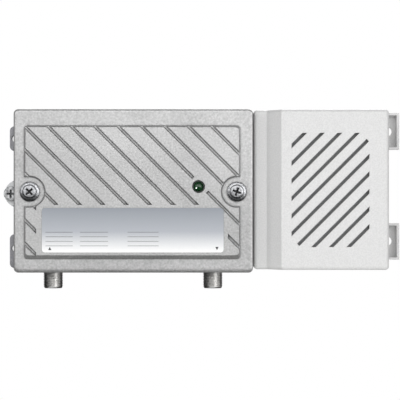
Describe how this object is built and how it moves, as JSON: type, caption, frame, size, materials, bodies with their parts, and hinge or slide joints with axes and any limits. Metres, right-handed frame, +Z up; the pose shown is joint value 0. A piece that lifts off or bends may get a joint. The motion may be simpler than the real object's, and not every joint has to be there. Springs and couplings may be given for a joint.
{
  "type": "tv signal amplifier",
  "caption": "Wall-mounted signal amplifier: die-cast case with a grooved screwed cover, threaded cable sockets below, slotted plastic mains supply at the right.",
  "frame": {"origin": "on the wall plane, at half the height of the metal case and half the width over case and supply", "axes": "+X along the length, from the case towards the supply; +Y back into the wall; +Z up; the front faces -Y"},
  "size_m": [0.1965, 0.0434, 0.0874],
  "materials": {
    "cast_metal": "silver lacquered die casting",
    "screw_steel": "zinc plated",
    "nickel": "nickel plated brass",
    "contact_brass": "plain",
    "socket_plastic": "moulded",
    "white_plastic": "fine matt, moulded",
    "screen_fibre": "pressed fibre sheet",
    "board_green": "solder mask",
    "module_black": "moulded",
    "tin_steel": "tinned",
    "ferrite": "sintered",
    "sleeve_blue": "shrunk sleeve",
    "ceramic_tan": "fired",
    "lens_green": "clear tinted epoxy",
    "winding_copper": "lacquered copper",
    "case_yellow": "potted box",
    "trimmer_blue": "moulded",
    "rotor_white": "moulded",
    "terminal_green": "moulded",
    "fuse_glass": "clear tube",
    "sink_aluminium": "extruded",
    "rubber_black": "moulded",
    "seal_rubber": "conductive strip"
  },
  "bodies": {
    "case": {"base_casting": "cast_metal", "cover_seal": "seal_rubber", "input_socket_barrel": "nickel", "output_socket_barrel": "nickel", "input_socket_insulator": "socket_plastic", "output_socket_insulator": "socket_plastic", "input_socket_contact": "contact_brass", "output_socket_contact": "contact_brass", "amplifier_board": "board_green", "board_screws": "screw_steel", "amplifier_module": "module_black", "input_filter_can": "tin_steel", "output_filter_can": "tin_steel", "filter_chokes": "ferrite", "board_capacitors": "sleeve_blue", "surface_parts": "ceramic_tan", "led_spacer": "white_plastic", "status_led": "lens_green", "psu_base": "white_plastic", "psu_cover": "white_plastic", "slot_screen": "screen_fibre", "psu_shell_screws": "screw_steel", "psu_board": "board_green", "transformer_core": "ferrite", "transformer_bobbin": "winding_copper", "bulk_capacitor": "sleeve_blue", "line_capacitor": "case_yellow", "line_choke": "winding_copper", "mains_terminal": "terminal_green", "mains_fuse": "fuse_glass", "fuse_clips": "tin_steel", "output_capacitors": "sleeve_blue", "heat_sink": "sink_aluminium", "regulator": "module_black", "feed_bush": "white_plastic", "feed_wires": "winding_copper", "tie_screws": "screw_steel", "tie_nuts": "screw_steel", "cord_inlet": "rubber_black", "gain_trimmer_body": "trimmer_blue", "slope_trimmer_body": "trimmer_blue", "return_gain_trimmer_body": "trimmer_blue", "return_slope_trimmer_body": "trimmer_blue"},
    "cover": {"cover_casting": "cast_metal"},
    "left_washer": {"cover_washer_left": "screw_steel"},
    "left_screw": {"cover_screw_left": "screw_steel"},
    "right_washer": {"cover_washer_right": "screw_steel"},
    "right_screw": {"cover_screw_right": "screw_steel"},
    "earth_clamp": {"earth_washer": "screw_steel"},
    "earth_bolt": {"earth_screw": "screw_steel"},
    "gain_rotor": {"gain_trimmer_rotor": "rotor_white"},
    "slope_rotor": {"slope_trimmer_rotor": "rotor_white"},
    "return_gain_rotor": {"return_gain_trimmer_rotor": "rotor_white"},
    "return_slope_rotor": {"return_slope_trimmer_rotor": "rotor_white"}
  },
  "joints": [
    {"name": "cover_lift", "type": "slide", "parent": "case", "child": "cover", "axis": [0, -1, 0], "range_m": [0, 0.06]},
    {"name": "left_screw_lift", "type": "slide", "parent": "cover", "child": "left_washer", "axis": [0, -1, 0], "range_m": [0, 0.0056]},
    {"name": "left_screw_turn", "type": "hinge", "parent": "left_washer", "child": "left_screw", "pos_m": [-0.0829, -0.04, -0.0004], "axis": [0, -1, 0], "range_deg": [0, 2880]},
    {"name": "right_screw_lift", "type": "slide", "parent": "cover", "child": "right_washer", "axis": [0, -1, 0], "range_m": [0, 0.0056]},
    {"name": "right_screw_turn", "type": "hinge", "parent": "right_washer", "child": "right_screw", "pos_m": [0.0173, -0.04, -0.0004], "axis": [0, -1, 0], "range_deg": [0, 2880]},
    {"name": "earth_screw_lift", "type": "slide", "parent": "case", "child": "earth_clamp", "axis": [0, -1, 0], "range_m": [0, 0.0028]},
    {"name": "earth_screw_turn", "type": "hinge", "parent": "earth_clamp", "child": "earth_bolt", "pos_m": [-0.0939, -0.017, -0.0013], "axis": [0, -1, 0], "range_deg": [0, 1440]},
    {"name": "gain_adjust", "type": "hinge", "parent": "case", "child": "gain_rotor", "pos_m": [-0.0583, -0.016, 0.00568], "axis": [0, -1, 0], "range_deg": [-135, 135]},
    {"name": "slope_adjust", "type": "hinge", "parent": "case", "child": "slope_rotor", "pos_m": [-0.043, -0.016, 0.00568], "axis": [0, -1, 0], "range_deg": [-135, 135]},
    {"name": "return_gain_adjust", "type": "hinge", "parent": "case", "child": "return_gain_rotor", "pos_m": [-0.0277, -0.016, 0.00568], "axis": [0, -1, 0], "range_deg": [-135, 135]},
    {"name": "return_slope_adjust", "type": "hinge", "parent": "case", "child": "return_slope_rotor", "pos_m": [-0.0124, -0.016, 0.00568], "axis": [0, -1, 0], "range_deg": [-135, 135]}
  ],
  "couplings": [
    {"joint": "left_screw_turn", "follows": "left_screw_lift", "rad_per_m": 8976},
    {"joint": "right_screw_turn", "follows": "right_screw_lift", "rad_per_m": 8976},
    {"joint": "earth_screw_turn", "follows": "earth_screw_lift", "rad_per_m": 8976}
  ]
}
